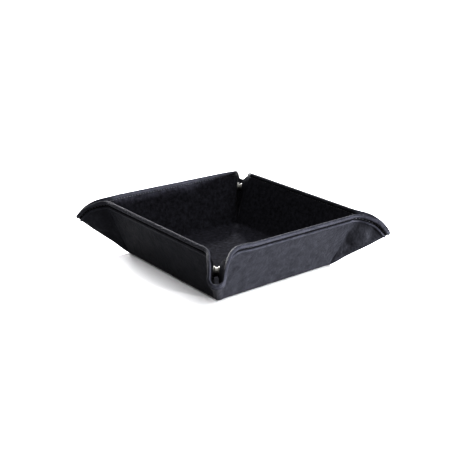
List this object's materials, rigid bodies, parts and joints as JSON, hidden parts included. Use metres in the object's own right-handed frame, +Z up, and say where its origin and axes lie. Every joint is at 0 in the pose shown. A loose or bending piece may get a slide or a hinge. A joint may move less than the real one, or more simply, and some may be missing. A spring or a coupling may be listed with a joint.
{
  "type": "dice tray",
  "caption": "Square fold-up dice tray: a leather and velvet sheet with boards, folded up along its sides and held at each corner by a press stud.",
  "frame": {"origin": "middle of the underside of the base, on the table", "axes": "+Z up out of the tray, X and Y along the sides of the square base"},
  "size_m": [0.2172, 0.2172, 0.056],
  "materials": {
    "leather": "black grained leather, satin",
    "edge_leather": "black turned leather edge, satin",
    "velvet": "black velvet pile",
    "board": "grey-brown stiffening board",
    "nickel": "polished nickel plate"
  },
  "bodies": {
    "base": {"base_cover": "leather", "base_board": "board", "base_lining": "velvet"},
    "back_wall": {"back_wall_cover": "leather", "back_wall_board": "board", "back_wall_lining": "velvet", "back_wall_binding": "edge_leather"},
    "back_stud_ear": {"back_stud_ear_cover": "leather", "back_stud_ear_lining": "velvet", "back_stud_ear_binding": "edge_leather", "back_stud": "nickel", "back_stud_rivet": "nickel"},
    "back_socket_ear": {"back_socket_ear_cover": "leather", "back_socket_ear_lining": "velvet", "back_socket_ear_binding": "edge_leather", "back_socket": "nickel", "back_socket_rivet": "nickel"},
    "left_wall": {"left_wall_cover": "leather", "left_wall_board": "board", "left_wall_lining": "velvet", "left_wall_binding": "edge_leather"},
    "left_stud_ear": {"left_stud_ear_cover": "leather", "left_stud_ear_lining": "velvet", "left_stud_ear_binding": "edge_leather", "left_stud": "nickel", "left_stud_rivet": "nickel"},
    "left_socket_ear": {"left_socket_ear_cover": "leather", "left_socket_ear_lining": "velvet", "left_socket_ear_binding": "edge_leather", "left_socket": "nickel", "left_socket_rivet": "nickel"},
    "front_wall": {"front_wall_cover": "leather", "front_wall_board": "board", "front_wall_lining": "velvet", "front_wall_binding": "edge_leather"},
    "front_stud_ear": {"front_stud_ear_cover": "leather", "front_stud_ear_lining": "velvet", "front_stud_ear_binding": "edge_leather", "front_stud": "nickel", "front_stud_rivet": "nickel"},
    "front_socket_ear": {"front_socket_ear_cover": "leather", "front_socket_ear_lining": "velvet", "front_socket_ear_binding": "edge_leather", "front_socket": "nickel", "front_socket_rivet": "nickel"},
    "right_wall": {"right_wall_cover": "leather", "right_wall_board": "board", "right_wall_lining": "velvet", "right_wall_binding": "edge_leather"},
    "right_stud_ear": {"right_stud_ear_cover": "leather", "right_stud_ear_lining": "velvet", "right_stud_ear_binding": "edge_leather", "right_stud": "nickel", "right_stud_rivet": "nickel"},
    "right_socket_ear": {"right_socket_ear_cover": "leather", "right_socket_ear_lining": "velvet", "right_socket_ear_binding": "edge_leather", "right_socket": "nickel", "right_socket_rivet": "nickel"}
  },
  "joints": [
    {"name": "back_fold", "type": "hinge", "parent": "base", "child": "back_wall", "pos_m": [0, 0.069, 0.0034], "axis": [-1, 0, 0], "range_deg": [0, 70]},
    {"name": "back_stud_ear_crease", "type": "hinge", "parent": "back_wall", "child": "back_stud_ear", "pos_m": [0.069, 0.069, 0.0034], "axis": [0, -0.342, -0.9397], "range_deg": [0, 33]},
    {"name": "back_socket_ear_crease", "type": "hinge", "parent": "back_wall", "child": "back_socket_ear", "pos_m": [-0.069, 0.069, 0.0034], "axis": [0, 0.342, 0.9397], "range_deg": [0, 33]},
    {"name": "left_fold", "type": "hinge", "parent": "base", "child": "left_wall", "pos_m": [-0.069, 0, 0.0034], "axis": [0, -1, 0], "range_deg": [0, 70]},
    {"name": "left_stud_ear_crease", "type": "hinge", "parent": "left_wall", "child": "left_stud_ear", "pos_m": [-0.069, 0.069, 0.0034], "axis": [0.342, 0, -0.9397], "range_deg": [0, 33]},
    {"name": "left_socket_ear_crease", "type": "hinge", "parent": "left_wall", "child": "left_socket_ear", "pos_m": [-0.069, -0.069, 0.0034], "axis": [-0.342, 0, 0.9397], "range_deg": [0, 33]},
    {"name": "front_fold", "type": "hinge", "parent": "base", "child": "front_wall", "pos_m": [0, -0.069, 0.0034], "axis": [1, 0, 0], "range_deg": [0, 70]},
    {"name": "front_stud_ear_crease", "type": "hinge", "parent": "front_wall", "child": "front_stud_ear", "pos_m": [-0.069, -0.069, 0.0034], "axis": [0, 0.342, -0.9397], "range_deg": [0, 33]},
    {"name": "front_socket_ear_crease", "type": "hinge", "parent": "front_wall", "child": "front_socket_ear", "pos_m": [0.069, -0.069, 0.0034], "axis": [0, -0.342, 0.9397], "range_deg": [0, 33]},
    {"name": "right_fold", "type": "hinge", "parent": "base", "child": "right_wall", "pos_m": [0.069, 0, 0.0034], "axis": [0, 1, 0], "range_deg": [0, 70]},
    {"name": "right_stud_ear_crease", "type": "hinge", "parent": "right_wall", "child": "right_stud_ear", "pos_m": [0.069, -0.069, 0.0034], "axis": [-0.342, 0, -0.9397], "range_deg": [0, 33]},
    {"name": "right_socket_ear_crease", "type": "hinge", "parent": "right_wall", "child": "right_socket_ear", "pos_m": [0.069, 0.069, 0.0034], "axis": [0.342, 0, 0.9397], "range_deg": [0, 33]}
  ],
  "couplings": [
    {"joint": "back_stud_ear_crease", "follows": "front_fold", "ratio": 0.4621},
    {"joint": "back_socket_ear_crease", "follows": "front_fold", "ratio": 0.4621},
    {"joint": "back_fold", "follows": "front_fold", "ratio": 1},
    {"joint": "left_stud_ear_crease", "follows": "front_fold", "ratio": 0.4621},
    {"joint": "left_socket_ear_crease", "follows": "front_fold", "ratio": 0.4621},
    {"joint": "left_fold", "follows": "front_fold", "ratio": 1},
    {"joint": "front_stud_ear_crease", "follows": "front_fold", "ratio": 0.4621},
    {"joint": "front_socket_ear_crease", "follows": "front_fold", "ratio": 0.4621},
    {"joint": "right_stud_ear_crease", "follows": "front_fold", "ratio": 0.4621},
    {"joint": "right_socket_ear_crease", "follows": "front_fold", "ratio": 0.4621},
    {"joint": "right_fold", "follows": "front_fold", "ratio": 1}
  ]
}
